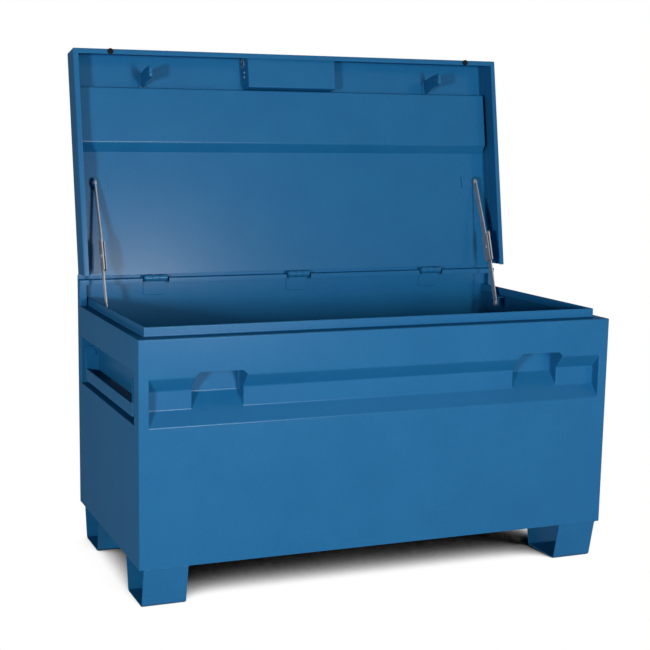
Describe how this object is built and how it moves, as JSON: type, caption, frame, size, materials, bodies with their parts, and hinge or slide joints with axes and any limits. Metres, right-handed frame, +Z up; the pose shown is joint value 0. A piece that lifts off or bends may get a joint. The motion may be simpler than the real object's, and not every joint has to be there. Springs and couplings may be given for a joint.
{
  "type": "jobsite storage box",
  "caption": "Steel jobsite chest on folded feet, with a hinged box lid on stays, recessed padlock pockets and a drop handle in each end.",
  "frame": {"origin": "on the floor, under the middle of the chest's footprint", "axes": "+X to the chest's right as seen from the front, +Y to the rear, +Z up; the front faces -Y"},
  "size_m": [1.2192, 0.697, 1.2814],
  "materials": {
    "blue_powder_coat": "semi-gloss powder coat",
    "zinc_plated_steel": "zinc plated",
    "black_rubber": "matt"
  },
  "bodies": {
    "chest": {"front_panel": "blue_powder_coat", "recess_upper_slope": "blue_powder_coat", "recess_face": "blue_powder_coat", "recess_lower_slope": "blue_powder_coat", "recess_end_walls": "blue_powder_coat", "padlock_housing_left": "blue_powder_coat", "padlock_housing_right": "blue_powder_coat", "side_panel_right": "blue_powder_coat", "side_panel_left": "blue_powder_coat", "rear_panel": "blue_powder_coat", "floor_panel": "blue_powder_coat", "front_shelf": "blue_powder_coat", "side_shelf_right": "blue_powder_coat", "side_shelf_left": "blue_powder_coat", "front_rim": "blue_powder_coat", "side_rim_right": "blue_powder_coat", "side_rim_left": "blue_powder_coat", "corner_post_right": "blue_powder_coat", "corner_post_left": "blue_powder_coat", "hinge_rail": "blue_powder_coat", "foot_front_left": "blue_powder_coat", "foot_front_right": "blue_powder_coat", "foot_rear_left": "blue_powder_coat", "foot_rear_right": "blue_powder_coat", "hinge_pins": "zinc_plated_steel", "stay_foot_brackets": "blue_powder_coat", "handle_pan_right": "blue_powder_coat", "handle_pan_left": "blue_powder_coat", "handle_lugs": "blue_powder_coat", "handle_pins": "zinc_plated_steel", "hinge_body_leaf_left": "blue_powder_coat", "hinge_body_leaf_middle": "blue_powder_coat", "hinge_body_leaf_right": "blue_powder_coat"},
    "lid": {"lid_panel": "blue_powder_coat", "lid_front_flange": "blue_powder_coat", "lid_side_flange_left": "blue_powder_coat", "lid_side_flange_right": "blue_powder_coat", "lid_channel": "blue_powder_coat", "lid_lock_plate": "blue_powder_coat", "lock_box": "blue_powder_coat", "hasp_left": "blue_powder_coat", "hasp_right": "blue_powder_coat", "lid_bumpers": "black_rubber", "stay_lid_brackets": "blue_powder_coat", "hinge_lid_leaf_left": "blue_powder_coat", "hinge_lid_leaf_middle": "blue_powder_coat", "hinge_lid_leaf_right": "blue_powder_coat"},
    "stay_upper_left": {"stay_upper_left": "zinc_plated_steel"},
    "stay_upper_right": {"stay_upper_right": "zinc_plated_steel"},
    "stay_lower_left": {"stay_lower_left": "zinc_plated_steel"},
    "stay_lower_right": {"stay_lower_right": "zinc_plated_steel"},
    "handle_left": {"handle_arms_left": "blue_powder_coat", "handle_grip_left": "blue_powder_coat"},
    "handle_right": {"handle_arms_right": "blue_powder_coat", "handle_grip_right": "blue_powder_coat"}
  },
  "joints": [
    {"name": "lid_hinge", "type": "hinge", "parent": "chest", "child": "lid", "pos_m": [0, 0.286, 0.6905], "axis": [1, 0, 0], "range_deg": [0, 99.67]},
    {"name": "stay_lower_left_pivot", "type": "hinge", "parent": "chest", "child": "stay_lower_left", "pos_m": [-0.5609, 0.181, 0.603], "axis": [1, 0, 0], "range_deg": [0, 147.5]},
    {"name": "stay_upper_left_pivot", "type": "hinge", "parent": "lid", "child": "stay_upper_left", "pos_m": [-0.5575, 0.32073, 0.93839], "axis": [1, 0, 0], "range_deg": [-76, 0]},
    {"name": "stay_lower_right_pivot", "type": "hinge", "parent": "chest", "child": "stay_lower_right", "pos_m": [0.5609, 0.181, 0.603], "axis": [1, 0, 0], "range_deg": [0, 147.5]},
    {"name": "stay_upper_right_pivot", "type": "hinge", "parent": "lid", "child": "stay_upper_right", "pos_m": [0.5575, 0.32073, 0.93839], "axis": [1, 0, 0], "range_deg": [-76, 0]},
    {"name": "handle_left_swing", "type": "hinge", "parent": "chest", "child": "handle_left", "pos_m": [-0.5839, 0.006, 0.5095], "axis": [0, 1, 0], "range_deg": [0, 80]},
    {"name": "handle_right_swing", "type": "hinge", "parent": "chest", "child": "handle_right", "pos_m": [0.5839, 0.006, 0.5095], "axis": [0, -1, 0], "range_deg": [0, 80]}
  ],
  "couplings": [
    {"joint": "stay_lower_left_pivot", "follows": "lid_hinge", "ratio": 1.4786},
    {"joint": "stay_upper_left_pivot", "follows": "lid_hinge", "ratio": -0.761},
    {"joint": "stay_lower_right_pivot", "follows": "lid_hinge", "ratio": 1.4786},
    {"joint": "stay_upper_right_pivot", "follows": "lid_hinge", "ratio": -0.761}
  ]
}
